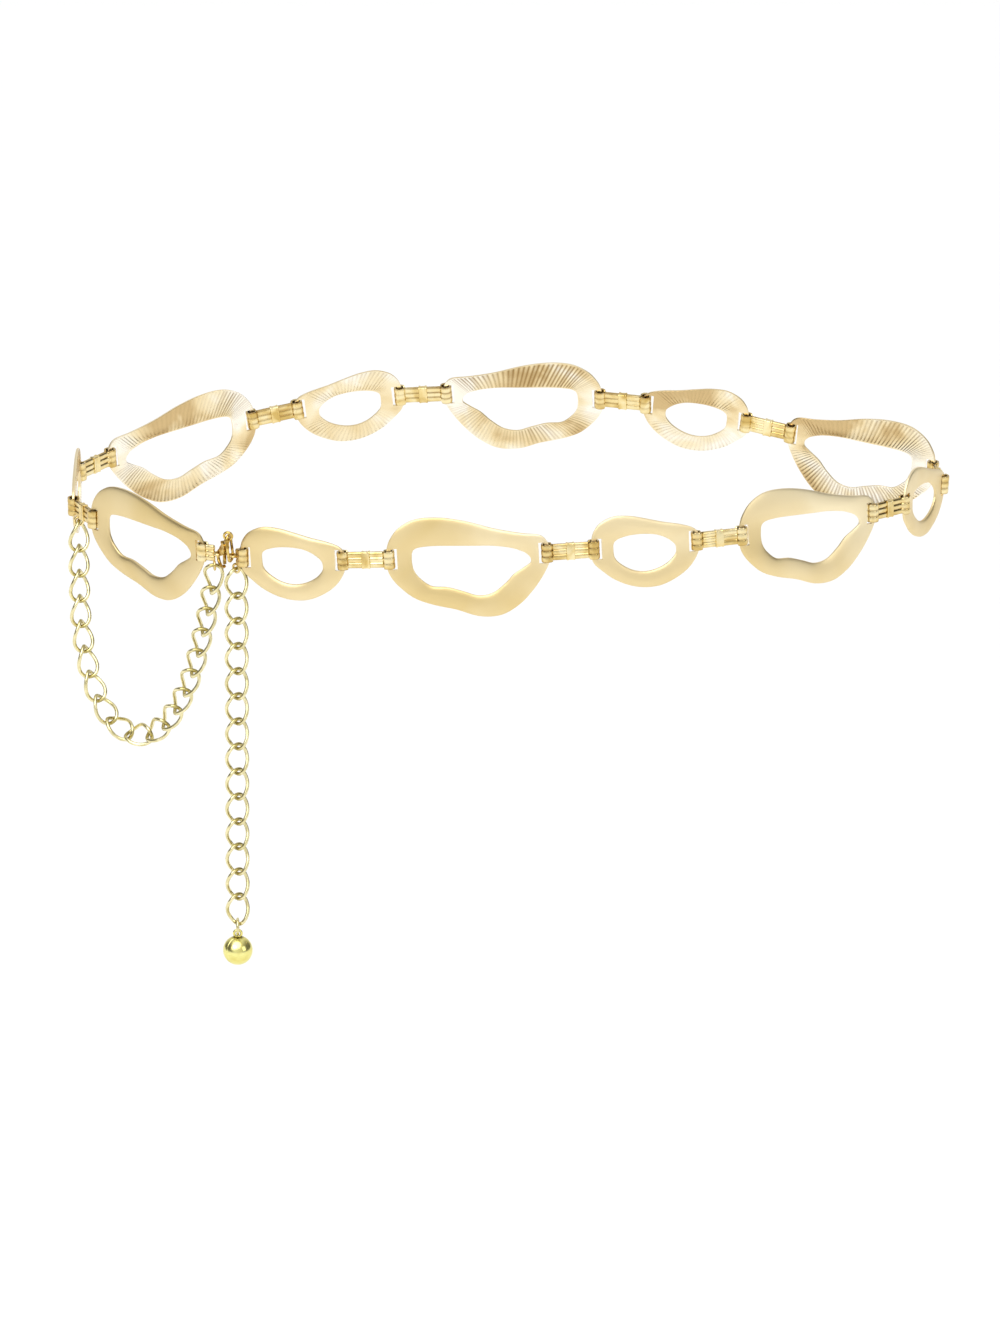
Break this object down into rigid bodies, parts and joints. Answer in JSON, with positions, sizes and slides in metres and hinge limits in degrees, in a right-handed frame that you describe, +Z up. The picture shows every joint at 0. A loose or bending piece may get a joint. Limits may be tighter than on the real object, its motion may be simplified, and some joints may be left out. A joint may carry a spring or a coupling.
{
  "type": "waist chain",
  "caption": "Gold-tone waist chain of open plates on ribbed straps, with a lobster clasp, a swag of twisted chain and a hanging chain with a ball.",
  "frame": {"origin": "middle of the waist, at the mean height of the plates' hinge lines", "axes": "+Z up, -Y to the front with the chains, +X to the right seen from the front"},
  "size_m": [0.3085, 0.159, 0.1771],
  "materials": {
    "plate_gold": "satin outside, fine ridges inside",
    "strap_gold": "bright, ribbed lengthwise",
    "clasp_gold": "bright",
    "chain_gold": "bright, slightly greener",
    "ball_gold": "bright"
  },
  "bodies": {
    "root": {"plate_small_1": "plate_gold", "plate_small_2": "plate_gold", "plate_small_3": "plate_gold", "plate_small_4": "plate_gold", "plate_small_5": "plate_gold", "plate_small_6": "plate_gold", "plate_large_1": "plate_gold", "plate_large_2": "plate_gold", "plate_large_3": "plate_gold", "plate_large_4": "plate_gold", "plate_large_5": "plate_gold", "plate_large_6": "plate_gold", "connector_1": "strap_gold", "connector_2": "strap_gold", "connector_3": "strap_gold", "connector_4": "strap_gold", "connector_5": "strap_gold", "connector_6": "strap_gold", "connector_7": "strap_gold", "connector_8": "strap_gold", "connector_9": "strap_gold", "connector_10": "strap_gold", "connector_11": "strap_gold", "half_strap_a": "strap_gold", "half_strap_b": "strap_gold", "clasp_body": "clasp_gold", "clasp_link": "clasp_gold", "swag_chain": "chain_gold", "drop_chain": "chain_gold", "ball_ring": "ball_gold", "ball": "ball_gold"},
    "gate": {"clasp_gate": "clasp_gold"}
  },
  "joints": [
    {"name": "clasp_gate", "type": "hinge", "parent": "root", "child": "gate", "pos_m": [-0.09773, -0.07526, 0.00046], "axis": [0.9033, 0.4289, 0.0099], "range_deg": [0, 28], "stiffness_Nm_per_rad": 0.0005, "springref_deg": -9.74}
  ]
}
